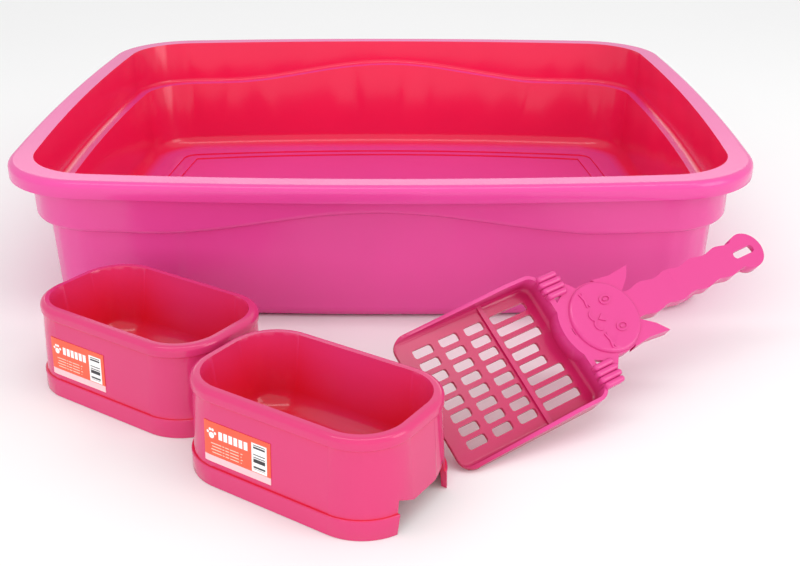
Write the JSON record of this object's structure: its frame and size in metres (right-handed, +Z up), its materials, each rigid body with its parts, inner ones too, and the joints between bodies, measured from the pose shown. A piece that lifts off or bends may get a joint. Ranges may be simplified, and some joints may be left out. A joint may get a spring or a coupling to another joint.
{
  "type": "litter tray set",
  "caption": "Open litter tray with a rolled rim and wavy shoulder, slotted scoop with an embossed cat head, and rounded rectangular food bowls with plain stickers.",
  "frame": {"origin": "centre of the tray's flat underside, on the floor", "axes": "+Z up, +Y from the bowls towards the tray's back, +X along the tray's long side to the viewer's right"},
  "size_m": [0.5298, 0.6801, 0.106],
  "materials": {
    "pink_plastic": "semi-gloss moulded",
    "sticker": "printed sticker"
  },
  "bodies": {
    "tray_body": {"tray": "pink_plastic"},
    "scoop_body": {"scoop": "pink_plastic"},
    "front_bowl_body": {"front_bowl": "pink_plastic", "front_bowl_label": "sticker"},
    "rear_bowl_body": {"rear_bowl": "pink_plastic", "rear_bowl_label": "sticker"}
  },
  "joints": [
    {"name": "scoop_lift", "type": "slide", "parent": "tray_body", "child": "scoop_body", "axis": [0, 0, 1], "range_m": [0, 0.15]},
    {"name": "front_bowl_lift", "type": "slide", "parent": "tray_body", "child": "front_bowl_body", "axis": [0, 0, 1], "range_m": [0, 0.15]},
    {"name": "rear_bowl_lift", "type": "slide", "parent": "tray_body", "child": "rear_bowl_body", "axis": [0, 0, 1], "range_m": [0, 0.15]}
  ]
}
